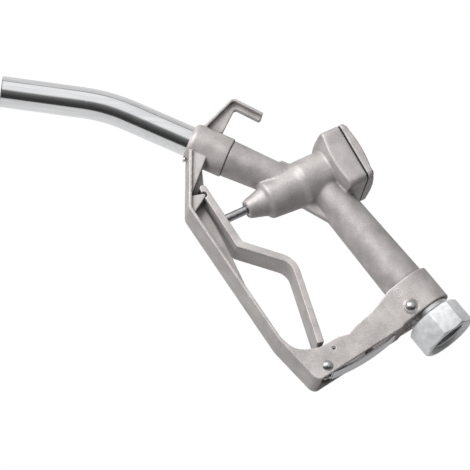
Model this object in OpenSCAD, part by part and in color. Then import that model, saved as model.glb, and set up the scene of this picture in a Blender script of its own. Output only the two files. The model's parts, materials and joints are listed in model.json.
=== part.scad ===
// Manual fuel transfer nozzle: cast valve body, clamp-on lever guard with a hang hook,
// bent spout, floating squeeze lever, spring-loaded poppet valve and a swivel hose nut.
// The origin is the centre of the hose inlet's mouth. The mechanism lies in the XZ plane,
// +X points out of the inlet end, +Z up over the hang hook, and Y is the width.

/* [Hose inlet] */
// Flats of the swivel nut
nut_sides = 8; // [6, 8]
// Width across the swivel nut's flats
nut_af = 43.4; // [38:0.2:52]
// Length of the swivel nut
nut_len = 23; // [20:0.5:30]
// Wall radius of the nut's 1 inch pipe thread
thread_r = 15.15; // [14:0.05:16.5]
// Depth of the thread behind the mouth
thread_depth = 10; // [8:0.5:10]
// Radius of the spigot that the nut turns on
spigot_r = 13.2; // [12:0.1:13.8]

/* [Handle] */
// Slope of the handle above the spout's line
handle_slope = 46.4; // [35:0.1:60]
// Radius of the handle at its lower end
handle_low_r = 17.5; // [16.5:0.1:18.5]
// Radius of the handle at its upper end
handle_top_r = 14.6; // [14.5:0.1:18]
// Distance from the mouth to the nose tube's axis, along the handle
nose_cross = 140.8; // [118:0.1:170]
// Radius of the waterway in the handle
water_r = 11; // [9:0.1:11.4]

/* [Nose and spout] */
// Slope of the nose tube below the spout's line
nose_slope = 17.5; // [10:0.1:30]
// Distance from the handle's axis to the front of the guard sleeve
sleeve_front = 128.4; // [120:0.1:150]
// Length of the guard sleeve
sleeve_len = 29.6; // [24:0.1:36]
// Radius of the guard sleeve
sleeve_r = 16.45; // [16:0.05:19]
// Radius of the nose tube behind the sleeve
nose_front_r = 15.3; // [14.8:0.05:15.6]
// Radius of the nose tube at the valve housing
nose_back_r = 13.2; // [12.6:0.1:14.5]
// Outer radius of the spout
spout_r = 12.5; // [10.4:0.1:12.6]
// Wall of the spout
spout_wall = 1.2; // [0.8:0.1:2]
// Radius of the bend's centre line
spout_bend_r = 130; // [80:1:180]
// Distance along the nose axis from the sleeve's front to the spout's corner
spout_root = 76.2; // [60:0.1:110]
// Distance from the spout's corner to its tip
spout_reach = 86.4; // [60:0.1:130]

/* [Valve housing] */
// Slope of the valve stem's axis
valve_slope = 33.7; // [28:0.1:40]
// Distance from the nose axis to the valve axis, along the handle
valve_rise = 30.7; // [26:0.1:36]
// Distance from the handle's axis to the gland's tip, along the valve axis
gland_reach = 65; // [62:0.1:72]
// Radius of the gland's tip
gland_r = 7.9; // [7.4:0.1:10]
// Radius of the large valve barrel
barrel_r = 19.8; // [19:0.1:23]
// Radius of the valve chamber
chamber_r = 16; // [14:0.1:17]
// Half the width of the square rear box
box_half = 26; // [25.5:0.1:31]
// Length of the square rear box
box_len = 16.7; // [12:0.1:22]
// Height of the cap's dome above its gasket
cap_height = 10.2; // [8:0.1:13]
// Radius of the cap's dome
cap_dome_r = 105; // [90:1:240]
// Radius of the valve stem
stem_r = 3.6; // [2.5:0.1:3.9]
// Radius of the opening in the valve seat
seat_r = 8.5; // [6:0.1:9.5]

/* [Lever] */
// Width of the squeeze lever
lever_w = 25; // [22:0.5:27]
// Thickness of the lever's floor and walls
lever_wall = 2.4; // [1.8:0.1:3]
// Radius of the lever's notch round its fulcrum
notch_r = 2.4; // [2:0.1:2.6]

/* [Guard] */
// Width of the guard strap
strap_w = 28; // [23.3:0.1:30]
// Thickness of the guard strap
strap_t = 2.6; // [2:0.1:4]
// Thickness of the two side plates
plate_t = 3; // [2.4:0.1:3.4]
// Radius of the rear collar
collar_r = 20.7; // [20.2:0.1:24]
// Length of the rear collar
collar_len = 29.5; // [24:0.5:34]
// Thickness of the rib behind the strap
rib_t = 5; // [3:0.1:6]
// Width of the hang hook's flange
hook_w = 14; // [10:0.5:18]
// Radius of the latch pin
latch_pin_r = 2; // [1.5:0.1:2.5]
// Width of the hold-open latch
latch_w = 15; // [10:0.5:18]

/* [Hidden] */
$fn = 64;

cast = "#b9b6b2";
cast_dark = "#a5a29e";
bright = "#d9dcdf";
steel = "#9a9ca0";
brass = "#b8963e";
black_rubber = "#1b1b1c";

fit = 0.05;        // radial clearance of a running or sliding fit
gap = 0.3;         // clearance between parts that pass each other
eps = 0.01;        // overshoot of a cut

// Places along the three axes
handle_lean = 90 - handle_slope;
valve_cross = nose_cross + valve_rise;
nose_lean = nose_slope - 90;
valve_lean = 90 - valve_slope;
sleeve_back = sleeve_front - sleeve_len;
collar_back = 28;
collar_front = collar_back + collar_len;
neck_back = nut_len + 1;

// A point in the side view, from a distance up the handle and one towards the guard
function on_handle(s, q) = [
    -s * sin(handle_lean) - q * cos(handle_lean),
    s * cos(handle_lean) - q * sin(handle_lean)
];
nose_start = on_handle(nose_cross, 0);
sleeve_tip = nose_start + sleeve_front * [-cos(nose_slope), sin(nose_slope)];
// A point in the side view, measured from the centre of the sleeve's front face
function from_sleeve(x, z) = sleeve_tip + [x, z];

module at_handle(s = 0) { rotate([0, -handle_lean, 0]) translate([0, 0, s]) children(); }
module at_nose(s = 0) {
    translate([nose_start[0], 0, nose_start[1]]) rotate([0, nose_lean, 0])
        translate([0, 0, s]) children();
}
module at_valve(t = 0) {
    at_handle(valve_cross) rotate([0, handle_lean + valve_lean, 0])
        translate([0, 0, t - gland_reach]) children();
}
// A flat shape drawn in the side view, as thick as from y_low to y_high
module side_slab(y_low, y_high) {
    translate([0, y_high, 0]) rotate([90, 0, 0]) linear_extrude(y_high - y_low) children();
}
module both_sides() {
    children();
    mirror([0, 1, 0]) children();
}
module ring(outer, inner, len) {
    difference() {
        cylinder(r = outer, h = len);
        translate([0, 0, -eps]) cylinder(r = inner, h = len + 2 * eps);
    }
}
module torus(centre_r, wire_r) {
    rotate_extrude() translate([centre_r, 0]) circle(r = wire_r, $fn = 24);
}
module rounded_square(half, corner) {
    square([2 * half, 2 * (half - corner)], center = true);
    square([2 * (half - corner), 2 * half], center = true);
    for (x = [-1, 1], y = [-1, 1])
        translate([x, y] * (half - corner)) circle(r = corner);
}
module screw_corners(reach) {
    for (x = [-1, 1], y = [-1, 1]) translate([x * reach, y * reach, 0]) children();
}

// Outlines: each corner is [x, z, radius], and a radius of 0 keeps it sharp
function unit(v) = v / norm(v);
function flat(p) = [p[0], p[1]];
function corner_arc(a, b, c, r, steps = 6) =
    let (u = unit(a - b), v = unit(c - b), half = acos(u * v) / 2,
         reach = r / tan(half), mid = b + unit(u + v) * r / sin(half),
         p = b + u * reach - mid, q = b + v * reach - mid,
         from = atan2(p[1], p[0]), raw = atan2(q[1], q[0]) - from,
         sweep = raw > 180 ? raw - 360 : raw < -180 ? raw + 360 : raw)
    [for (i = [0 : steps]) mid + r * [cos(from + sweep * i / steps), sin(from + sweep * i / steps)]];
function soft(corners) = let (n = len(corners)) [
    for (i = [0 : n - 1])
        let (b = corners[i])
        each b[2] == 0 ? [flat(b)]
            : corner_arc(flat(corners[(i + n - 1) % n]), flat(b), flat(corners[(i + 1) % n]), b[2])
];
function with_r(p, r) = [p[0], p[1], r];
// The left-hand normal of each step of a path, and the path moved sideways by d
function left_of(a, b) = let (u = unit(b - a)) [-u[1], u[0]];
function moved(path, d) = [
    for (i = [0 : len(path) - 1])
        let (before = i == 0 ? left_of(path[0], path[1]) : left_of(path[i - 1], path[i]),
             after = i == len(path) - 1 ? before : left_of(path[i], path[i + 1]),
             m = unit(before + after))
        path[i] + m * d / (m * before)
];

// ---- Valve body ----
gland_len = 17;
barrel_small_r = 15.5;
barrel_mid_r = 17.3;
barrel_step = 46;
barrel_start = 51;
box_start = 78.5;
box_end = box_start + box_len;
box_corner = 5;
seat_front = 50;
seat_face = 54;
lower_chamber_r = 11;
lower_chamber_start = 24;
cap_screw_r = 2.5;
cap_screw_head_r = 4.2;
cap_screw_at = 0.76 * box_half;
cap_screw_depth = 12;
gasket_t = 0.8;
cap_start = box_end + gasket_t;
spigot_end = thread_depth + 2.4;
nose_spigot_r = 14;
spout_seat = sleeve_back - 0.8;
spout_in = spout_seat + 2;
waterway_nose_r = spout_r - 2.5;
nose_water_end = 49;      // the nose's waterway opens into the lower chamber here
gland_bore_r = 5;
clip_groove_r = 5.6;
bolt_r = 2.5;
bolt_s = 35.8;
bolt_q = 14.6;

module handle_tube() {
    top = valve_cross;
    at_handle(neck_back) cylinder(r = handle_low_r, h = collar_front + 2 - neck_back);
    at_handle(collar_front + 2)
        cylinder(r1 = handle_low_r, r2 = handle_top_r, h = top - collar_front - 2);
    at_handle(spigot_end) cylinder(r = spigot_r, h = neck_back - spigot_end + 1);
}
module nose_tube() {
    at_nose(30) cylinder(r1 = nose_back_r - 0.5, r2 = nose_front_r, h = sleeve_back - 30);
    at_nose(sleeve_back - 1) cylinder(r = nose_spigot_r, h = sleeve_len - 0.1);
}
module housing() {
    tip_round = 1.6;
    at_valve() rotate_extrude() polygon([
        [0, 0], [gland_r - tip_round, 0], [gland_r - tip_round * 0.3, tip_round * 0.3],
        [gland_r, tip_round], [gland_r + 4, gland_len - 1], [gland_r + 5, gland_len],
        [barrel_small_r - 0.8, gland_len + 1.2], [barrel_small_r, gland_len + 2.4],
        [barrel_mid_r, barrel_step], [barrel_r, barrel_start],
        [barrel_r, box_start + 2], [0, box_start + 2]
    ]);
    at_valve(box_start - 4) intersection() {
        linear_extrude(box_len + 4) rounded_square(box_half, box_corner);
        cylinder(r1 = barrel_r, r2 = barrel_r + 3.2 * 5.6, h = 5.6);
    }
    at_valve(box_start + 1.6 - eps) linear_extrude(box_len - 1.6 + eps)
        rounded_square(box_half, box_corner);
}
// The thin web in the crook between the valve housing and the handle
module crook_web() {
    web_half = 2.5;
    side_slab(-web_half, web_half) polygon([
        on_handle(valve_cross, 8), on_handle(valve_cross - 34, 13.6),
        on_handle(valve_cross - 37, 15.6), on_handle(valve_cross - 13, 25.5),
        on_handle(valve_cross - 4, 28)
    ]);
}
module nose_pad() {
    at_nose(45) translate([nose_back_r - 3, -4, 0]) cube([6, 8, 14]);
}
module cap_screw_holes() {
    at_valve(box_end - cap_screw_depth) screw_corners(cap_screw_at)
        cylinder(r = cap_screw_r + fit, h = cap_screw_depth + 1);
}
module bolt_hole() {
    at_handle(bolt_s) translate([-bolt_q, -30, 0]) rotate([-90, 0, 0])
        cylinder(r = bolt_r + fit, h = 60);
}
// Level seats for the bolt's head and nut on the collar's sloping sides
module bolt_seats() {
    both_sides() at_handle(bolt_s) translate([-bolt_q, -bolt_pad, 0]) rotate([90, 0, 0])
        cylinder(r = 5.6, h = 10);
}
module valve_body() color(cast) difference() {
    union() {
        handle_tube();
        nose_tube();
        housing();
        crook_web();
        nose_pad();
    }
    at_handle(spigot_end - 1) cylinder(r = water_r, h = valve_cross - 11.5 - spigot_end + 1);
    at_handle(swivel_ring_s) torus(spigot_r + swivel_ring_out, swivel_wire_r);
    at_handle(swivel_seal_s - swivel_seal_r - 0.2)
        ring(spigot_r + 1, spigot_r - 2 * swivel_seal_r, 2 * swivel_seal_r + 0.4);
    at_nose(spout_seat) cylinder(r = spout_r + fit, h = sleeve_len + 2);
    at_nose(nose_water_end) cylinder(r = waterway_nose_r, h = spout_seat - nose_water_end + 1);
    at_valve(-1) cylinder(r = gland_bore_r, h = gland_len);
    at_valve(clip_t) cylinder(r = clip_groove_r, h = clip_len);
    at_valve(gland_len - 2) cylinder(r = stem_r + gap, h = lower_chamber_start);
    at_valve(lower_chamber_start) cylinder(r = lower_chamber_r, h = seat_front - lower_chamber_start);
    at_valve(seat_front - 1) cylinder(r = seat_r, h = seat_face - seat_front + 2);
    at_valve(seat_face) cylinder(r = chamber_r, h = box_end - seat_face + 1);
    cap_screw_holes();
    bolt_hole();
}

// ---- Valve cap, its gasket and screws ----
cap_pocket_r = 13;
cap_pocket = 4;
cap_head_seat = 3.2;
module cap_outline() { rounded_square(box_half, box_corner); }
module valve_cap() color(cast) at_valve(cap_start) difference() {
    intersection() {
        linear_extrude(cap_height) cap_outline();
        translate([0, 0, cap_height - cap_dome_r]) sphere(r = cap_dome_r, $fn = 160);
    }
    translate([0, 0, -eps]) cylinder(r = cap_pocket_r, h = cap_pocket);
    screw_corners(cap_screw_at) {
        translate([0, 0, -1]) cylinder(r = cap_screw_r + fit, h = cap_height + 2);
        translate([0, 0, cap_head_seat]) cylinder(r = cap_screw_head_r + gap, h = cap_height);
    }
}
module cap_gasket() color(black_rubber) at_valve(box_end) difference() {
    linear_extrude(gasket_t) rounded_square(box_half - 0.4, box_corner);
    translate([0, 0, -1]) cylinder(r = chamber_r, h = 3);
    translate([0, 0, -1]) screw_corners(cap_screw_at) cylinder(r = cap_screw_r + fit, h = 3);
}
module cap_screws() color(bright) at_valve(cap_start + cap_head_seat) screw_corners(cap_screw_at) {
    head_h = 2.8;
    difference() {
        cylinder(r = cap_screw_head_r, h = head_h);
        translate([0, 0, head_h - 1.8]) cylinder(r = 2.3, h = 2, $fn = 6);
    }
    translate([0, 0, -cap_head_seat - gasket_t - cap_screw_depth + 1])
        cylinder(r = cap_screw_r, h = cap_head_seat + gasket_t + cap_screw_depth);
}

// ---- Stem, gland and poppet ----
clip_t = 0.8;
clip_len = 1.2;
bush_start = 8;
stem_tip = -24.6;
stem_end = seat_face + 12;
seal_t = 1.2;
seal_start = seat_face + fit;
poppet_t = 3.2;
poppet_start = seal_start + seal_t;
poppet_r = seat_r + 3;
poppet_nut_start = poppet_start + poppet_t;
poppet_nut_t = 5;
module stem_bush() color(brass) at_valve(bush_start)
    ring(gland_bore_r, stem_r + fit, gland_len - 1 - bush_start);
module stem_o_rings() color(black_rubber) {
    seal_r = (gland_bore_r - stem_r - 2 * fit) / 2;
    for (t = [3.6, 6.4]) at_valve(t) torus(stem_r + 1.5 * fit + seal_r, seal_r - fit / 2);
}
module gland_circlip() color(steel) at_valve(clip_t) ring(clip_groove_r, stem_r + gap, clip_len);
module valve_stem() color(bright) {
    tip_h = 1.8;
    at_valve(stem_tip) rotate_extrude() polygon([
        [0, 0], [0.45 * stem_r, 0], [0.72 * stem_r, 0.45], [stem_r, tip_h],
        [stem_r, stem_end - stem_tip - 0.8], [stem_r - 0.8, stem_end - stem_tip],
        [0, stem_end - stem_tip]
    ]);
}
module poppet() color(brass) at_valve(poppet_start) difference() {
    union() {
        cylinder(r = poppet_r, h = poppet_t - 1);
        translate([0, 0, poppet_t - 1]) cylinder(r1 = poppet_r, r2 = poppet_r - 1, h = 1);
    }
    translate([0, 0, -1]) cylinder(r = stem_r, h = poppet_t + 2);
}
module poppet_seal() color(black_rubber) at_valve(seal_start) ring(poppet_r, stem_r, seal_t);
module poppet_nut() color(bright) at_valve(poppet_nut_start) difference() {
    cylinder(d = 10 / cos(30), h = poppet_nut_t, $fn = 6);
    translate([0, 0, -1]) cylinder(r = stem_r, h = poppet_nut_t + 2);
}
// A round wire wound in a helix: one ring of points for each step along it
spring_r = 8.6;
spring_wire = 0.9;
spring_turns = 7;
spring_steps = 16;
spring_low = poppet_nut_start + spring_wire + 0.1;
spring_high = cap_start + cap_pocket - spring_wire - 0.1;
module helix(r, wire, turns, height, steps = 16, sides = 8) {
    count = turns * steps;
    pts = [for (i = [0 : count]) let (a = 360 * i / steps, z = height * i / count)
        for (k = [0 : sides - 1]) let (b = 360 * k / sides)
            [(r + wire * cos(b)) * cos(a), (r + wire * cos(b)) * sin(a), z + wire * sin(b)]];
    walls = [for (i = [0 : count - 1], k = [0 : sides - 1]) let (n = (k + 1) % sides)
        [i * sides + k, (i + 1) * sides + k, (i + 1) * sides + n, i * sides + n]];
    first = [for (k = [0 : sides - 1]) k];
    last = [for (k = [sides - 1 : -1 : 0]) count * sides + k];
    polyhedron(points = pts, faces = concat(walls, [first, last]), convexity = 10);
}
module valve_spring() color(steel) at_valve(spring_low)
    helix(spring_r, spring_wire, spring_turns, spring_high - spring_low, spring_steps);

// ---- Spout ----
// The spout as a solid rod of radius r, longer by more at each end
module spout_rod(r, more = 0) {
    lap = 1;
    drawn = 0.08; // the bend comes out this much thinner than the straight tube
    bend_run = spout_bend_r * tan(nose_slope / 2);
    corner = sleeve_front + spout_root;
    corner_x = sleeve_tip[0] - spout_root * cos(nose_slope);
    corner_z = sleeve_tip[1] + spout_root * sin(nose_slope);
    at_nose(spout_in - more) cylinder(r = r, h = corner - bend_run - spout_in + lap + more);
    at_nose(corner - bend_run) translate([-spout_bend_r, 0, 0]) rotate([90, 0, 0])
        rotate_extrude(angle = nose_slope, $fn = 240) translate([spout_bend_r, 0])
            circle(r = r - drawn, $fn = 64);
    translate([corner_x - spout_reach - more, 0, corner_z]) rotate([0, 90, 0])
        cylinder(r = r, h = spout_reach - bend_run + lap + more);
}
module spout() color(bright) difference() {
    spout_rod(spout_r);
    spout_rod(spout_r - spout_wall, 1);
}
module spout_seal() color(black_rubber) at_nose(spout_seat + 1) torus(spout_r - 1.2, 0.95);

// ---- Guard ----
plate_out = strap_w / 2;
plate_in = plate_out - plate_t;
lug_half = 11.5;
fulcrum = from_sleeve(11.55, -49.6);
tooth_tip_r = 1.5;
latch_s = 36.1;
latch_q = 100.3;
latch_at = on_handle(latch_s, latch_q);
stop_at = on_handle(44.8, 86.9);
stop_r = 1.5;
flare_q = 30;

strap_path = [
    from_sleeve(-4.05, -12.1), from_sleeve(0.05, -63.3), on_handle(76.1, 118.1),
    on_handle(31.4, 114.8), on_handle(31.2, 108.4)
];
module strap() {
    outer = strap_path;
    inner = moved(strap_path, strap_t);
    n = len(outer);
    side_slab(-plate_out, plate_out) polygon(soft([
        with_r(outer[0], 0), with_r(outer[1], 8), with_r(outer[2], 30), with_r(outer[3], 5),
        with_r(outer[4], 0), with_r(inner[4], 0), with_r(inner[3], 2.2), with_r(inner[2], 27),
        with_r(inner[1], 5.4), with_r(inner[0], 0)
    ]));
}
// The rib behind the strap, from the sleeve down to where it runs out
module rib() {
    inner = moved(strap_path, strap_t / 2);
    side_slab(-rib_t / 2, rib_t / 2) polygon([
        inner[0], inner[1], inner[1] + 0.8 * (inner[2] - inner[1]),
        from_sleeve(53.25, -120.7), from_sleeve(37.85, -93.1), from_sleeve(24.0, -70.1),
        from_sleeve(14.8, -57.4), from_sleeve(13.25, -48.6), from_sleeve(11.15, -35.8),
        from_sleeve(8.85, -23.6), from_sleeve(9.5, -12)
    ]);
}
// The lug over the lever's hooks, and the tooth that they bear on
module lug() {
    side_slab(rib_t / 2 - eps, lug_half) polygon([
        from_sleeve(-3.2, -9), from_sleeve(9.85, -12), from_sleeve(9.85, -17.5),
        from_sleeve(1.85, -50), from_sleeve(-0.2, -50)
    ]);
}
module tooth() {
    side_slab(rib_t / 2 - eps, lug_half) {
        polygon([
            from_sleeve(0, -52.2), fulcrum + [-0.5, tooth_tip_r - 0.08],
            fulcrum + [tooth_tip_r - 0.1, -0.5], from_sleeve(5.2, -66.5), from_sleeve(0.6, -62)
        ]);
        translate(fulcrum) circle(r = tooth_tip_r, $fn = 24);
    }
}
module sleeve() {
    lip = 3.6;
    at_nose(sleeve_back) rotate_extrude() polygon([
        [0, 0], [sleeve_r, 0], [sleeve_r, sleeve_len], [sleeve_r - 0.7, sleeve_len + lip / 2],
        [spout_r + 1.3, sleeve_len + lip], [0, sleeve_len + lip]
    ]);
}
module hook() {
    web_half = 2.5;
    flange_t = 2.3;
    outer = [from_sleeve(4, -16), from_sleeve(6.9, 16.4), from_sleeve(23.8, 39.2),
             from_sleeve(29.6, 41.6), from_sleeve(53.4, 32.6)];
    side_slab(-hook_w / 2, hook_w / 2) polygon(soft([
        with_r(from_sleeve(6.2, 14), 0), with_r(from_sleeve(27.2, 42.8), 5.5), with_r(outer[4], 0.8),
        with_r(outer[4] - [0.75, flange_t], 0), with_r(from_sleeve(27.9, 40), 3.4),
        with_r(from_sleeve(8.6, 13), 0)
    ]));
    side_slab(-web_half, web_half) polygon(soft([
        with_r(from_sleeve(7, 11), 0), with_r(from_sleeve(27.5, 41.2), 4), with_r(outer[4] - [0.3, 1], 0),
        with_r(outer[4] - [1.9, 5.7], 1.2), with_r(from_sleeve(30.4, 35.0), 2.5),
        with_r(from_sleeve(22.3, 11.8), 0)
    ]));
}
// The side plates, from the strap's corner to the collar. Corners are [up handle, out, radius]
plate_corners = [
    [93.9, 114.6, 0], [78.2, 115.9, 20], [61, 112.6, 16], [52.2, 96, 6], [50.4, 77.6, 3],
    [47.2, 69.5, 4], [49.3, 61.7, 6], [51.2, 43.5, 12]
];
module side_plate() {
    top = [for (c = plate_corners) with_r(on_handle(c[0], c[1]), c[2])];
    side_slab(-plate_out, -plate_in) polygon(soft(concat(top, [
        with_r(on_handle(collar_front - 1, collar_r - 0.5), 0),
        with_r(on_handle(collar_front - 5, collar_r - 2), 0),
        with_r(on_handle(collar_back + 2, collar_r - 2), 0),
        with_r(on_handle(26.8, flare_q), 0),
        with_r(on_handle(30.2, 114), 4.6),
        with_r(on_handle(75.9, 117.0), 26)
    ])));
}
// The collar's outline across the handle: a circle that flares into the two plates
module collar_outline(r, half) {
    reach = norm([flare_q, half]);
    turn = atan2(half, -flare_q) - acos(r / reach);
    circle(r = r, $fn = 96);
    polygon([
        [r * cos(turn), r * sin(turn)], [-flare_q, half], [-flare_q - 1, half - 1],
        [-flare_q - 1, 1 - half], [-flare_q, -half], [r * cos(turn), -r * sin(turn)]
    ]);
}
module collar() {
    intersection() {
        at_handle(collar_back) linear_extrude(collar_len)
            collar_outline(collar_r, plate_out + 0.05);
        side_slab(-30, 30) polygon([
            on_handle(collar_back - 1, -30), on_handle(collar_front + 1, -30),
            on_handle(collar_front + 1, collar_r), on_handle(collar_front, collar_r),
            on_handle(54.6, flare_q + 1), on_handle(collar_back - 1, flare_q + 1)
        ]);
    }
}
bolt_pad = 18;
module bolt_pads() {
    at_handle(bolt_s) translate([-bolt_q, -bolt_pad, 0]) rotate([-90, 0, 0])
        cylinder(r = 5.9, h = 2 * bolt_pad);
}
module lever_guard() color(cast_dark) difference() {
    union() {
        sleeve();
        strap();
        rib();
        both_sides() lug();
        both_sides() tooth();
        hook();
        both_sides() side_plate();
        collar();
        bolt_pads();
    }
    at_nose(sleeve_back - 1) cylinder(r = nose_spigot_r + fit, h = sleeve_len + 0.1);
    at_nose(sleeve_back) cylinder(r = spout_r + gap, h = sleeve_len + 8);
    at_handle(collar_back - 2) cylinder(r = handle_low_r + fit, h = collar_len + 8);
    // the channel between the plates
    at_handle(collar_back - 4) translate([-flare_q - 4, 0.5 - plate_in, 0])
        cube([flare_q + 4 - handle_low_r, 2 * plate_in - 1, collar_len + 10]);
    bolt_hole();
    bolt_seats();
    translate([latch_at[0], -30, latch_at[1]]) rotate([-90, 0, 0])
        cylinder(r = latch_pin_r + fit, h = 60);
    translate([stop_at[0], -30, stop_at[1]]) rotate([-90, 0, 0]) cylinder(r = stop_r + fit, h = 60);
    at_nose(sleeve_front - lock_screw_len) translate([-lock_screw_x, 0, 0])
        cylinder(r = lock_screw_r + fit, h = lock_screw_len + 5);
    at_nose(sleeve_front + 0.9) translate([-lock_screw_x, 0, 0]) cylinder(r = 2.9, h = 6);
}
lock_screw_r = 1.5;
lock_screw_len = 9;
lock_screw_x = sleeve_r - 0.2;
module spout_lock_screw() color(bright) {
    at_nose(sleeve_front - lock_screw_len + 1) translate([-lock_screw_x, 0, 0]) {
        cylinder(r = lock_screw_r, h = lock_screw_len);
        translate([0, 0, lock_screw_len]) cylinder(r1 = 2.5, r2 = 1.9, h = 1.4);
    }
}
// A dome-headed pin across the guard: its shank, and a head outside each plate
module dome(r, h) {
    ball = (r * r + h * h) / (2 * h);
    intersection() {
        translate([0, 0, h - ball]) sphere(r = ball);
        cylinder(r = r, h = h);
    }
}
module guard_bolt() color(bright) {
    at_handle(bolt_s) translate([-bolt_q, 0, 0]) rotate([90, 0, 0]) {
        translate([0, 0, -bolt_pad - 4.5]) cylinder(r = bolt_r, h = 2 * bolt_pad + 4.5);
        translate([0, 0, bolt_pad]) dome(5, 3);
    }
}
module guard_bolt_nut() color(bright) {
    at_handle(bolt_s) translate([-bolt_q, 0, 0]) rotate([-90, 0, 0]) translate([0, 0, bolt_pad])
        difference() {
            union() {
                cylinder(d = 8 / cos(30), h = 4, $fn = 6);
                translate([0, 0, 4]) dome(3.8, 2.6);
            }
            translate([0, 0, -eps]) cylinder(r = bolt_r, h = 5);
        }
}
module latch_pin() color(bright) {
    translate([latch_at[0], 0, latch_at[1]]) rotate([90, 0, 0]) {
        translate([0, 0, -plate_out]) cylinder(r = latch_pin_r, h = 2 * plate_out);
        for (side = [0, 1]) mirror([0, 0, side]) translate([0, 0, plate_out]) dome(4.5, 2.6);
    }
}
module stop_pin() color(steel) {
    translate([stop_at[0], plate_out - 0.8, stop_at[1]]) rotate([90, 0, 0])
        ring(stop_r, 0.8, 2 * plate_out - 1.6);
}

// ---- Hold-open latch and its spring ----
latch_leaf_t = 1.5;
latch_end = on_handle(26.4, 36.6);
latch_start = on_handle(30.2, 97.2);
leaf_bow_r = 165;
knuckle_r = 4;
// The leaf is an arc between its two ends, bowed out of the channel
leaf_half = norm(latch_end - latch_start) / 2;
leaf_centre = (latch_start + latch_end) / 2
    + left_of(latch_start, latch_end) * sqrt(leaf_bow_r * leaf_bow_r - leaf_half * leaf_half);
leaf_a0 = atan2(latch_start[1] - leaf_centre[1], latch_start[0] - leaf_centre[0]);
leaf_a1 = atan2(latch_end[1] - leaf_centre[1], latch_end[0] - leaf_centre[0]);
// A point so far along the leaf, from 0 to 1, and so deep in it
function leaf_at(share, depth) = let (a = leaf_a0 + (leaf_a1 - leaf_a0) * share)
    leaf_centre + (leaf_bow_r - depth) * [cos(a), sin(a)];
module leaf_outline() {
    polygon(concat([for (i = [0 : 12]) leaf_at(i / 12, 0)],
        [for (i = [12 : -1 : 0]) leaf_at(i / 12, latch_leaf_t)]));
}
module hold_open_latch() color(steel) {
    pin = latch_at;
    difference() {
        union() {
            side_slab(-latch_w / 2, latch_w / 2) {
                leaf_outline();
                translate(pin) circle(r = knuckle_r);
                polygon([
                    pin + [-3.2, -2.4], latch_start + [-0.4, 0.3],
                    latch_start + [5, 5.8], pin + [3.2, 2.4]
                ]);
            }
            // the catch that holds the lever's tail
            side_slab(-4, 4) polygon([
                leaf_at(0.5, latch_leaf_t / 2), leaf_at(0.66, latch_leaf_t / 2),
                on_handle(36, 58), on_handle(36.5, 62)
            ]);
        }
        translate([pin[0], -30, pin[1]]) rotate([-90, 0, 0]) cylinder(r = latch_pin_r + fit, h = 60);
        translate([pin[0], -spring_slot / 2, pin[1]]) rotate([-90, 0, 0])
            cylinder(r = knuckle_r + 1.5, h = spring_slot);
    }
}
spring_slot = 7;
latch_coil_r = 3.1;
module latch_spring() color(steel) {
    translate([latch_at[0], spring_slot / 2 - 1, latch_at[1]]) rotate([90, 0, 0])
        helix(latch_coil_r, 0.5, 4, spring_slot - 2, 16);
}

// ---- Lever ----
lever_tail = on_handle(53.8, 89);
lever_tail_low = on_handle(56.1, 94.3);
lever_hook_r = 2.8;
// The lever's outline in the side view. Its upper edge comes first
module lever_outline() {
    difference() {
        union() {
            polygon(soft([
                with_r(from_sleeve(12.1, -41.9), 0), with_r(from_sleeve(45.65, -85.7), 3),
                with_r(from_sleeve(89.65, -94.1), 20), with_r(lever_tail, 0.8),
                with_r(lever_tail_low, 0.8), with_r(from_sleeve(86.35, -99.3), 14),
                with_r(from_sleeve(41.65, -91.1), 3), with_r(from_sleeve(12.6, -52.4), 0),
                with_r(from_sleeve(7.6, -45.4), 0)
            ]));
            translate(from_sleeve(10.05, -44.1)) circle(r = lever_hook_r, $fn = 32);
        }
        translate(fulcrum) circle(r = notch_r, $fn = 32);
    }
}
// The space inside the lever's channel, open towards the handle
module lever_hollow() {
    floor_t = lever_wall;
    polygon(soft([
        with_r(from_sleeve(18.6, -40), 0), with_r(from_sleeve(60, -70), 0),
        with_r(from_sleeve(110, -84), 0), with_r(lever_tail + [16, 6], 0),
        with_r(lever_tail_low + [0.72, 0.1] * floor_t + [0, 5], 0),
        with_r(from_sleeve(86.35, -99.3) + [0.6, 0.9] * floor_t, 14),
        with_r(from_sleeve(41.65, -91.1) + [0.45, 1.2] * floor_t, 3),
        with_r(from_sleeve(12.6, -52.4) + [0.8, 0.6] * floor_t + [3.2, -4.3], 0)
    ]));
}
module lever() color(cast_dark) {
    half = lever_w / 2;
    slot_half = rib_t / 2 + 1.5;
    difference() {
        side_slab(-half, half) lever_outline();
        side_slab(-half + lever_wall, half - lever_wall) lever_hollow();
        // the fork that straddles the guard's rib
        side_slab(-slot_half, slot_half) polygon([
            from_sleeve(0, -38), from_sleeve(20, -38), from_sleeve(21.5, -52.5), from_sleeve(15.5, -58.5),
            from_sleeve(0, -58.5)
        ]);
    }
    // the tail that the latch holds
    side_slab(-5, 5) polygon([
        lever_tail_low, lever_tail_low * 0.4 + lever_tail * 0.6,
        lever_tail * 0.6 + lever_tail_low * 0.4 + [1.5, -4], lever_tail_low + [1.6, -4]
    ]);
}

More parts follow.
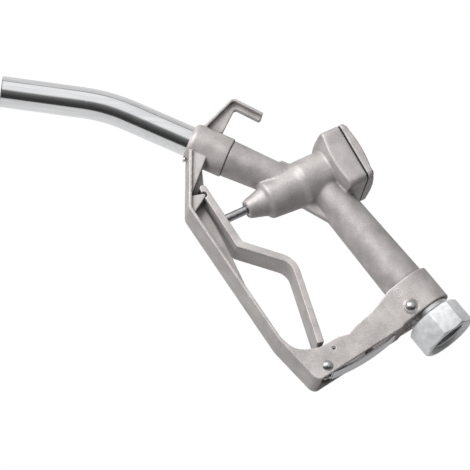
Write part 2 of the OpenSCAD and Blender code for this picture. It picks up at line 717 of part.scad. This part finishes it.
// ---- Swivel ----
swivel_ring_s = 18;
swivel_wire_r = 1;
swivel_ring_out = 0.25;
swivel_seal_s = 21.2;
swivel_seal_r = 0.6;
module nut_blank() {
    corner_r = nut_af / 2 / cos(180 / nut_sides);
    face_r = nut_af / 2 - 0.6;
    bevel = 1.7;
    intersection() {
        rotate([0, 0, 180 / nut_sides]) cylinder(r = corner_r, h = nut_len, $fn = nut_sides);
        rotate_extrude($fn = 96) polygon([
            [0, 0], [face_r, 0], [corner_r + 0.1, bevel], [corner_r + 0.1, nut_len - bevel],
            [face_r, nut_len], [0, nut_len]
        ]);
    }
}
module swivel_nut() color(bright) at_handle() difference() {
    nut_blank();
    translate([0, 0, -1]) cylinder(r = thread_r, h = thread_depth + 1);
    translate([0, 0, thread_depth - eps]) cylinder(r = spigot_r + fit, h = nut_len);
    translate([0, 0, swivel_ring_s]) torus(spigot_r + swivel_ring_out, swivel_wire_r + gap);
}
module swivel_ring() color(steel) at_handle(swivel_ring_s)
    torus(spigot_r + swivel_ring_out, swivel_wire_r);
module swivel_o_ring() color(black_rubber) at_handle(swivel_seal_s)
    torus(spigot_r - swivel_seal_r + fit / 2, swivel_seal_r - fit);
module hose_gasket() color(black_rubber) at_handle(spigot_end - 2) ring(spigot_r, water_r - 1, 2);

valve_body();
lever_guard();
spout();
spout_seal();
spout_lock_screw();
valve_cap();
cap_gasket();
cap_screws();
stem_bush();
stem_o_rings();
gland_circlip();
valve_stem();
poppet();
poppet_seal();
poppet_nut();
valve_spring();
lever();
hold_open_latch();
latch_pin();
latch_spring();
stop_pin();
guard_bolt();
guard_bolt_nut();
swivel_nut();
swivel_ring();
swivel_o_ring();
hose_gasket();
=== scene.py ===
# Looks for a manual fuel transfer nozzle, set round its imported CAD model. All sizes are in metres.
import json
import math

import bmesh
import bpy
from mathutils import Matrix, Vector
from mathutils.bvhtree import BVHTree


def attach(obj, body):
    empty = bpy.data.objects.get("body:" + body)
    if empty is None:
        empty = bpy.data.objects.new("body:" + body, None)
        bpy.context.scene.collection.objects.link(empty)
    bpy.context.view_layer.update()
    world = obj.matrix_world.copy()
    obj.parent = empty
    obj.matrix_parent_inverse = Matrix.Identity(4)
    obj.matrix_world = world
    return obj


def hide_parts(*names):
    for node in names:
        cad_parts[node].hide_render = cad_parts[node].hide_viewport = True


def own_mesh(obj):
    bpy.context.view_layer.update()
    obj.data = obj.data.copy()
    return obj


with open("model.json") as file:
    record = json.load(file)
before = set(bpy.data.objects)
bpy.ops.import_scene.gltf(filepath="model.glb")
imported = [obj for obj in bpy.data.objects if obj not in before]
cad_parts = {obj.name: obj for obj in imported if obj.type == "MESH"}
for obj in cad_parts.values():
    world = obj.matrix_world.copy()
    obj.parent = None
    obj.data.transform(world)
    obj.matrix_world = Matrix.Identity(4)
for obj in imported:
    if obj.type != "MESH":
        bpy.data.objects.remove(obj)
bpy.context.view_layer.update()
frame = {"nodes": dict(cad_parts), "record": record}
nodes = frame["nodes"]
MM = 0.001

mounts = {m["name"]: m for m in frame["record"]["mounts"]}
slot_of = {s["node"]: s["material_slot"] for s in frame["record"]["subparts"]}
body_of = {n: b for b, members in frame["record"]["behaviour"]["bodies"].items() for n in members}

# ---- The object's own lines ----
handle_up = -Vector(mounts["hose_inlet"]["axis"])
across = Vector((0, 1, 0))
inlet_mouth = Vector(mounts["hose_inlet"]["pos_m"])

# ---- The view's own directions ----
view_right = Vector((0.9872, -0.131, 0.0864))
view_up = Vector((-0.1324, -0.4037, 0.9049))
view_back = Vector((-0.0841, -0.9054, -0.4161))
view_aim = Vector((-0.17813, 0, 0.06494))


def on_view(right, up, back):
    """A point so far to the right of the aim, above it and nearer the camera, in metres."""
    return view_aim + view_right * right + view_up * up + view_back * back


# ---- Node helpers ----
def linear(hex_colour):
    """An sRGB hex colour as linear RGBA."""
    parts = [int(hex_colour[i:i + 2], 16) / 255 for i in (1, 3, 5)]
    return [p / 12.92 if p <= 0.04045 else ((p + 0.055) / 1.055) ** 2.4 for p in parts] + [1]


def add(tree, kind, settings=None, **links):
    """Adds a node, sets its properties and its sockets, and links the sockets that are given as outputs."""
    made = tree.nodes.new(kind)
    for name, value in (settings or {}).items():
        setattr(made, name, value)
    for name, value in links.items():
        socket = made.inputs[int(name[1:])] if name[0] == "_" else made.inputs[name.replace("_", " ")]
        if isinstance(value, bpy.types.NodeSocket):
            tree.links.new(value, socket)
        else:
            socket.default_value = value
    return made


def new_material(name):
    made = bpy.data.materials.new(name)
    made.use_nodes = True
    made.node_tree.nodes.clear()
    return made, made.node_tree


# ---- Materials ----
def cast_aluminium(name, deep, light, worn_and_lit):
    """Sand-blasted aluminium casting: a soft warm grey with a fine speckle and no clear reflections.
    Edges are painted a little lighter, partly as wear and partly as a painted highlight, and the corners are
    painted darker as shade."""
    grit_size = 0.9 * MM      # blasting grit leaves 0.2 mm dents; drawn coarser so that they show
    cloud_size = 14 * MM      # slow change of tone over a casting
    shade_reach = 10 * MM
    made, tree = new_material(name)
    place = add(tree, "ShaderNodeTexCoord").outputs["Object"]
    grit = add(tree, "ShaderNodeTexNoise", Vector=place, Scale=1 / grit_size, Detail=4.0,
               Roughness=0.7).outputs["Fac"]
    cloud = add(tree, "ShaderNodeTexNoise", Vector=place, Scale=1 / cloud_size, Detail=2.0).outputs["Fac"]
    tone = add(tree, "ShaderNodeMix", {"data_type": "FLOAT"}, _0=0.45, _2=grit, _3=cloud).outputs[0]
    share = add(tree, "ShaderNodeMapRange", _0=tone, _1=0.38, _2=0.62).outputs[0]
    skin_colour = add(tree, "ShaderNodeMix", {"data_type": "RGBA"}, _0=share, _6=linear(deep),
                      _7=linear(light)).outputs[2]
    # painted highlight and wear: convex edges are painted lighter, partly as rubbed wear and partly standing
    # in for the highlights that edges catch
    ridge = add(tree, "ShaderNodeNewGeometry").outputs["Pointiness"]
    wear_and_highlight = add(tree, "ShaderNodeMapRange", _0=ridge, _1=0.515, _2=0.57, _3=0.0, _4=0.55).outputs[0]
    edged = add(tree, "ShaderNodeMix", {"data_type": "RGBA"}, _0=wear_and_highlight, _6=skin_colour,
                _7=linear(worn_and_lit)).outputs[2]
    # painted shade: ambient occlusion darkens corners, recesses and gaps, standing in for the shade that falls
    # there
    open_air = add(tree, "ShaderNodeAmbientOcclusion", {"samples": 8}, Distance=shade_reach).outputs["AO"]
    unshaded_share = add(tree, "ShaderNodeMapRange", _0=open_air, _1=0.15, _2=0.85, _3=0.0, _4=1.0).outputs[0]
    painted_shade = add(tree, "ShaderNodeMix", {"data_type": "RGBA", "blend_type": "MULTIPLY"}, _0=1.0, _6=edged,
                _7=linear("#807a79")).outputs[2]
    colour = add(tree, "ShaderNodeMix", {"data_type": "RGBA"}, _0=unshaded_share, _6=painted_shade, _7=edged).outputs[2]
    rough = add(tree, "ShaderNodeMapRange", _0=cloud, _1=0.3, _2=0.7, _3=0.46, _4=0.58).outputs[0]
    dents = add(tree, "ShaderNodeBump", Height=grit, Strength=0.25, Distance=0.12 * MM).outputs[0]
    shader = add(tree, "ShaderNodeBsdfPrincipled", Base_Color=colour, Metallic=0.45, Roughness=rough,
                 Normal=dents)
    add(tree, "ShaderNodeOutputMaterial", Surface=shader.outputs[0])
    return made


def drawn_tube():
    """Drawn aluminium tube, polished: long clear reflections, broken into streaks along the tube."""
    streak_long = 40 * MM
    streak_wide = 1.2 * MM    # drawing dies leave lines 0.1 mm apart; drawn coarser so that they show
    made, tree = new_material("polished_drawn_tube")
    place = add(tree, "ShaderNodeTexCoord").outputs["Object"]
    drawn = add(tree, "ShaderNodeMapping", Vector=place,
                Scale=(1 / streak_long, 1 / streak_wide, 1 / streak_wide)).outputs[0]
    streaks = add(tree, "ShaderNodeTexNoise", Vector=drawn, Scale=1.0, Detail=3.0).outputs["Fac"]
    share = add(tree, "ShaderNodeMapRange", _0=streaks, _1=0.35, _2=0.65).outputs[0]
    colour = add(tree, "ShaderNodeMix", {"data_type": "RGBA"}, _0=share, _6=linear("#dcdddf"),
                 _7=linear("#ededee")).outputs[2]
    rough = add(tree, "ShaderNodeMapRange", _0=streaks, _1=0.35, _2=0.65, _3=0.08, _4=0.15).outputs[0]
    lines = add(tree, "ShaderNodeBump", Height=streaks, Strength=0.05, Distance=0.1 * MM).outputs[0]
    shader = add(tree, "ShaderNodeBsdfPrincipled", Base_Color=colour, Metallic=1.0, Roughness=rough,
                 Normal=lines)
    add(tree, "ShaderNodeOutputMaterial", Surface=shader.outputs[0])
    return made


def plain_metal(name, size_mm, dark, light, rough_low, rough_high, dent, metal=1.0):
    """A metal whose tone and roughness drift over marks of size_mm, with dents of a given strength."""
    made, tree = new_material(name)
    place = add(tree, "ShaderNodeTexCoord").outputs["Object"]
    marks = add(tree, "ShaderNodeTexNoise", Vector=place, Scale=1 / (size_mm * MM), Detail=3.0).outputs["Fac"]
    share = add(tree, "ShaderNodeMapRange", _0=marks, _1=0.35, _2=0.65).outputs[0]
    colour = add(tree, "ShaderNodeMix", {"data_type": "RGBA"}, _0=share, _6=linear(dark),
                 _7=linear(light)).outputs[2]
    rough = add(tree, "ShaderNodeMapRange", _0=marks, _1=0.35, _2=0.65, _3=rough_low, _4=rough_high).outputs[0]
    relief = add(tree, "ShaderNodeBump", Height=marks, Strength=dent, Distance=0.05 * MM).outputs[0]
    shader = add(tree, "ShaderNodeBsdfPrincipled", Base_Color=colour, Metallic=metal, Roughness=rough,
                 Normal=relief)
    add(tree, "ShaderNodeOutputMaterial", Surface=shader.outputs[0])
    return made


def nitrile_rubber():
    """Moulded black nitrile rubber: near black with a dull sheen."""
    made, tree = new_material("black_nitrile_rubber")
    place = add(tree, "ShaderNodeTexCoord").outputs["Object"]
    pores = add(tree, "ShaderNodeTexNoise", Vector=place, Scale=1 / (0.7 * MM), Detail=3.0).outputs["Fac"]
    share = add(tree, "ShaderNodeMapRange", _0=pores, _1=0.35, _2=0.65).outputs[0]
    colour = add(tree, "ShaderNodeMix", {"data_type": "RGBA"}, _0=share, _6=linear("#121213"),
                 _7=linear("#1f1f20")).outputs[2]
    rough = add(tree, "ShaderNodeMapRange", _0=pores, _1=0.35, _2=0.65, _3=0.5, _4=0.65).outputs[0]
    skin = add(tree, "ShaderNodeBump", Height=pores, Strength=0.2, Distance=0.05 * MM).outputs[0]
    shader = add(tree, "ShaderNodeBsdfPrincipled", Base_Color=colour, Roughness=rough, Normal=skin)
    add(tree, "ShaderNodeOutputMaterial", Surface=shader.outputs[0])
    return made


looks = {
    "cast_aluminium": cast_aluminium("sand_blasted_body_casting", "#979291", "#b9b4b3", "#cecbca"),
    # painted light: the guard is a lighter copy of the body's casting colours, standing in for the extra light
    # it gets
    "guard_aluminium": cast_aluminium("sand_blasted_guard_casting_painted_lighter", "#9f9998", "#c2bdbb", "#d6d3d2"),
    "polished_spout": drawn_tube(),
    # satin nickel over turned steel: bright and pale, the tool marks nearly gone under the plate
    "plated_nut": plain_metal("satin_nickel_plate", 5, "#d3d4d5", "#e6e7e8", 0.36, 0.44, 0.02, 0.5),
    # bright zinc on small steel heads: a clear shine dulled by handling
    "bright_screws": plain_metal("bright_zinc_plate", 1.5, "#b4b3b3", "#cbcaca", 0.22, 0.34, 0.1),
    # cold-rolled steel: mid grey and half matt
    "spring_steel": plain_metal("rolled_spring_steel", 3, "#a09fa2", "#bbbabd", 0.3, 0.42, 0.1),
    # turned brass: warm yellow with fine tool rings
    "brass": plain_metal("turned_brass", 1, "#a8873f", "#c3a159", 0.22, 0.34, 0.1),
    "black_rubber": nitrile_rubber(),
}
# the handle's end is turned bright where the nut runs up to it
machined_aluminium = plain_metal("turned_aluminium", 1, "#cfcfd0", "#e4e4e5", 0.2, 0.3, 0.05)


def dress(piece, look):
    piece.data.materials.clear()
    piece.data.materials.append(look)


for name, node in nodes.items():
    dress(node, looks[slot_of[name]])


# ---- Making pieces ----
def shade_smooth(piece, sharp_deg):
    for face in piece.data.polygons:
        face.use_smooth = True
    with bpy.context.temp_override(object=piece, active_object=piece, selected_objects=[piece],
                                   selected_editable_objects=[piece]):
        bpy.ops.object.shade_smooth_by_angle(angle=math.radians(sharp_deg))


def placed(name, mesh, look):
    piece = bpy.data.objects.new(name, mesh)
    bpy.context.collection.objects.link(piece)
    dress(piece, look)
    return piece


def applied(piece):
    """Replaces a piece's mesh with the outcome of its modifiers."""
    seen = bpy.context.evaluated_depsgraph_get()
    mesh = bpy.data.meshes.new_from_object(piece.evaluated_get(seen))
    piece.modifiers.clear()
    old = piece.data
    piece.data = mesh
    bpy.data.meshes.remove(old)


def spun(name, profile, place, axis, steps=96):
    """A closed ring mesh: a profile of (radius, height) in mm, spun round an axis."""
    bm = bmesh.new()
    lift = Vector(axis).normalized().to_track_quat("Z", "Y").to_matrix()
    rows = []
    for i in range(steps):
        turn = 2 * math.pi * i / steps
        rows.append([
            bm.verts.new(Vector(place) + lift @ Vector((r * math.cos(turn), r * math.sin(turn), h)) * MM)
            for r, h in profile
        ])
    for i in range(steps):
        here, after = rows[i], rows[(i + 1) % steps]
        for k in range(len(profile)):
            m = (k + 1) % len(profile)
            bm.faces.new((here[k], after[k], after[m], here[m]))
    bmesh.ops.recalc_face_normals(bm, faces=bm.faces)
    mesh = bpy.data.meshes.new(name)
    bm.to_mesh(mesh)
    bm.free()
    return mesh


# ---- Castings ----
def softened(node_name, piece_name, cell_mm, passes, keep):
    """A casting with its edges and inside corners rounded, as sand casting leaves them.
    It is the CAD solid remeshed in cells of cell_mm and smoothed in so many passes."""
    slot = slot_of[node_name]
    piece = placed(piece_name, nodes[node_name].data.copy(), looks[slot])
    cells = piece.modifiers.new("cells", "REMESH")
    cells.mode = "VOXEL"
    cells.voxel_size = cell_mm * MM
    cells.adaptivity = 0
    rounding = piece.modifiers.new("rounding", "SMOOTH")
    rounding.factor = 0.5
    rounding.iterations = passes
    fewer = piece.modifiers.new("fewer", "DECIMATE")
    fewer.ratio = keep
    applied(piece)
    for face in piece.data.polygons:
        face.use_smooth = True
    dress(piece, looks[slot])
    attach(piece, body_of[node_name])
    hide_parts(node_name)
    return piece


softened("valve_body", "valve_body_casting", 0.8, 15, 0.35)
softened("lever_guard", "lever_guard_casting", 0.5, 8, 0.3)
softened("lever", "lever_casting", 0.5, 7, 0.35)
softened("valve_cap", "valve_cap_casting", 0.7, 10, 0.4)

# ---- Swivel nut with its thread ----
THREAD_PITCH = 2.309      # mm, 11 threads per inch
THREAD_MINOR = 15.15
THREAD_MAJOR = 16.6
MOUTH_R = 19.0            # where the countersink meets the nut's face
SINK_DEEP = 2.6
THREAD_END = 9.7


def make_nut():
    """The nut with softened edges, its bore opened to the thread's roots, and the mouth countersunk."""
    cutter = placed("nut_cutter", spun("nut_cutter", [
        (0.01, -1), (MOUTH_R + 0.9, -1), (THREAD_MAJOR, SINK_DEEP), (THREAD_MAJOR, THREAD_END),
        (0.01, THREAD_END)
    ], inlet_mouth, handle_up, 128), looks["plated_nut"])
    piece = placed("swivel_nut_body", nodes["swivel_nut"].data.copy(), looks["plated_nut"])
    opened = piece.modifiers.new("opened", "BOOLEAN")
    opened.operation = "DIFFERENCE"
    opened.solver = "EXACT"
    opened.object = cutter
    edge = piece.modifiers.new("edge", "BEVEL")
    edge.width = 0.3 * MM
    edge.segments = 2
    edge.limit_method = "ANGLE"
    edge.angle_limit = math.radians(25)
    applied(piece)
    bpy.data.objects.remove(cutter)
    shade_smooth(piece, 24)
    dress(piece, looks["plated_nut"])
    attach(piece, "swivel")
    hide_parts("swivel_nut")


def make_thread():
    """The ridge of the nut's thread, wound from behind the mouth to the end of the opened bore."""
    steps_a_turn = 72
    ridge_from = SINK_DEEP + 0.2
    ridge_long = THREAD_END - SINK_DEEP - 1.2
    count = int(ridge_long / THREAD_PITCH * steps_a_turn)
    lift = handle_up.to_track_quat("Z", "Y").to_matrix()
    flank = THREAD_PITCH * 0.46
    bm = bmesh.new()
    rows = []
    for i in range(count + 1):
        turn = 2 * math.pi * i / steps_a_turn
        climb = ridge_from + ridge_long * i / count
        fade = min(1.0, i / 24, (count - i) / 24)
        crest = THREAD_MAJOR + 0.05 - (THREAD_MAJOR - THREAD_MINOR) * fade
        corners = ((THREAD_MAJOR + 0.2, -flank), (crest, -flank * 0.16), (crest, flank * 0.16),
                   (THREAD_MAJOR + 0.2, flank))
        rows.append([bm.verts.new(lift @ Vector((r * math.cos(turn), r * math.sin(turn), climb + h)) * MM)
                     for r, h in corners])
    for here, after in zip(rows, rows[1:]):
        for k in range(4):
            bm.faces.new((here[k], after[k], after[(k + 1) % 4], here[(k + 1) % 4]))
    bm.faces.new(rows[0])
    bm.faces.new(rows[-1])
    bmesh.ops.recalc_face_normals(bm, faces=bm.faces)
    mesh = bpy.data.meshes.new("inlet_thread")
    bm.to_mesh(mesh)
    bm.free()
    piece = placed("inlet_thread", mesh, looks["plated_nut"])
    shade_smooth(piece, 35)
    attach(piece, "swivel")


make_nut()
make_thread()


# ---- Small details of the castings ----
def make_neck():
    """The bright turned band of the handle that shows between the collar and the nut."""
    from_s, to_s, inner, outer, chamfer = 24.1, 28.6, 17.0, 17.75, 0.5
    mesh = spun("machined_neck", [
        (inner, from_s), (outer - chamfer, from_s), (outer, from_s + chamfer), (outer, to_s), (inner, to_s)
    ], inlet_mouth, handle_up)
    piece = placed("machined_neck", mesh, machined_aluminium)
    shade_smooth(piece, 35)
    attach(piece, "body")


def make_ejector_mark():
    """The faint round mark that an ejector pin leaves on the guard beside its bolt."""
    beside = Vector((-0.0467, -0.1, 0.0258))      # off the near side, level with the mark
    guard = nodes["lever_guard"].data
    skin = BVHTree.FromPolygons([v.co for v in guard.vertices], [f.vertices for f in guard.polygons])
    hit, normal, _, _ = skin.ray_cast(beside, across)
    inner, middle, outer, low, high, root = 3.1, 3.4, 3.7, 0.1, 0.2, -0.4
    mesh = spun("ejector_mark", [
        (outer, root), (outer, low), (middle, high), (inner, low), (inner, root)
    ], hit, normal, 48)
    piece = placed("ejector_mark", mesh, looks["guard_aluminium"])
    shade_smooth(piece, 60)
    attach(piece, "body")


def make_spring():
    """The valve spring coil, on its own copy of the CAD mesh, carried with the body."""
    piece = placed("valve_spring_coil", nodes["valve_spring"].data.copy(), looks["spring_steel"])
    shade_smooth(piece, 60)
    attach(piece, "body")
    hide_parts("valve_spring")
    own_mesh(piece)


make_neck()
make_ejector_mark()
make_spring()

# ---- Floor, light and camera ----
FLOOR_Z = -3.0


def make_floor():
    made, tree = new_material("pale_floor")
    place = add(tree, "ShaderNodeTexCoord").outputs["Object"]
    drift = add(tree, "ShaderNodeTexNoise", Vector=place, Scale=3.0, Detail=2.0).outputs["Fac"]
    colour = add(tree, "ShaderNodeMix", {"data_type": "RGBA"}, _0=drift, _6=linear("#efefee"),
                 _7=linear("#f4f4f3")).outputs[2]
    shader = add(tree, "ShaderNodeBsdfPrincipled", Base_Color=colour, Roughness=0.7)
    add(tree, "ShaderNodeOutputMaterial", Surface=shader.outputs[0])
    bpy.ops.mesh.primitive_plane_add(size=30, location=(0, 0, FLOOR_Z))
    floor = bpy.context.object
    floor.name = "floor"
    floor.visible_diffuse = False
    floor.visible_glossy = False
    floor.data.materials.append(made)


def soft_light(name, place, size, watts, mirrored=True):
    lamp = bpy.data.lights.new(name, "AREA")
    lamp.shape = "RECTANGLE"
    lamp.size, lamp.size_y = size
    lamp.energy = watts
    holder = bpy.data.objects.new(name, lamp)
    holder.location = place
    holder.visible_glossy = mirrored
    holder.rotation_euler = (view_aim - place).to_track_quat("-Z", "Y").to_euler()
    bpy.context.collection.objects.link(holder)


# The studio round the object, by the angle above the line to the camera, in degrees: a pale wall behind,
# a dark front from below up to the camera's height, and a white ceiling with a grey edge
STUDIO = [
    (-180, "#c8c8c8"), (-165, "#ececec"), (-100, "#e6e6e6"), (-52, "#dadada"), (-45, "#3c3c3c"),
    (-25, "#3c3c3c"), (-5, "#5a5a5a"), (10, "#7c7c7c"), (22, "#fafafa"), (84, "#ffffff"),
    (90, "#8a8a8a"), (97, "#dcdcdc"), (150, "#e6e6e6"), (180, "#b0b0b0"),
]


def make_studio():
    world = bpy.data.worlds.new("studio")
    bpy.context.scene.world = world
    world.use_nodes = True
    tree = world.node_tree
    tree.nodes.clear()
    toward = add(tree, "ShaderNodeTexCoord").outputs["Generated"]
    above = add(tree, "ShaderNodeVectorMath", {"operation": "DOT_PRODUCT"}, _0=toward,
                _1=view_up).outputs["Value"]
    ahead = add(tree, "ShaderNodeVectorMath", {"operation": "DOT_PRODUCT"}, _0=toward,
                _1=view_back).outputs["Value"]
    turn = add(tree, "ShaderNodeMath", {"operation": "ARCTAN2"}, _0=above, _1=ahead).outputs[0]
    share = add(tree, "ShaderNodeMapRange", _0=turn, _1=-math.pi, _2=math.pi).outputs[0]
    bands = add(tree, "ShaderNodeValToRGB", Fac=share)
    stops = bands.color_ramp.elements
    while len(stops) < len(STUDIO):
        stops.new(0.5)
    for stop, (degrees, colour) in zip(stops, STUDIO):
        stop.position = (degrees + 180) / 360
        stop.color = linear(colour)
    side = add(tree, "ShaderNodeVectorMath", {"operation": "DOT_PRODUCT"}, _0=toward,
               _1=view_right).outputs["Value"]
    shade = add(tree, "ShaderNodeMapRange", _0=side, _1=0.2, _2=0.9, _3=0.0, _4=0.65).outputs[0]
    shaded = add(tree, "ShaderNodeMix", {"data_type": "RGBA"}, _0=shade, _6=bands.outputs["Color"],
                 _7=linear("#3a3a3a")).outputs[2]
    path = add(tree, "ShaderNodeLightPath")
    low = add(tree, "ShaderNodeMapRange", _0=above, _1=-0.3, _2=0.3, _3=0.85, _4=0.0).outputs[0]
    dim = add(tree, "ShaderNodeMath", {"operation": "MULTIPLY"}, _0=low,
              _1=path.outputs["Is Diffuse Ray"]).outputs[0]
    dimmed = add(tree, "ShaderNodeMix", {"data_type": "RGBA"}, _0=dim, _6=shaded,
                 _7=linear("#2a2a2a")).outputs[2]
    colour = add(tree, "ShaderNodeMix", {"data_type": "RGBA"}, _0=path.outputs["Is Camera Ray"], _6=dimmed,
                 _7=(1, 1, 1, 1)).outputs[2]
    sky = add(tree, "ShaderNodeBackground", Color=colour, Strength=1.0)
    add(tree, "ShaderNodeOutputWorld", Surface=sky.outputs[0])


def make_camera():
    away = 3.6
    lens = bpy.data.cameras.new("camera")
    lens.sensor_width = 36
    lens.lens = 344.7
    lens.clip_end = 50
    holder = bpy.data.objects.new("camera", lens)
    turn = Matrix((view_right, view_up, view_back)).transposed().to_4x4()
    holder.matrix_world = Matrix.Translation(view_aim + view_back.normalized() * away) @ turn
    bpy.context.collection.objects.link(holder)
    bpy.context.scene.camera = holder
    bpy.context.scene.view_settings.view_transform = "Standard"


make_floor()
make_studio()
soft_light("key_box", on_view(-0.9, 1.45, 0.9), (1.4, 1.0), 33)
soft_light("front_box", on_view(-1.3, 0.2, 1.8), (1.2, 1.2), 34, False)
make_camera()
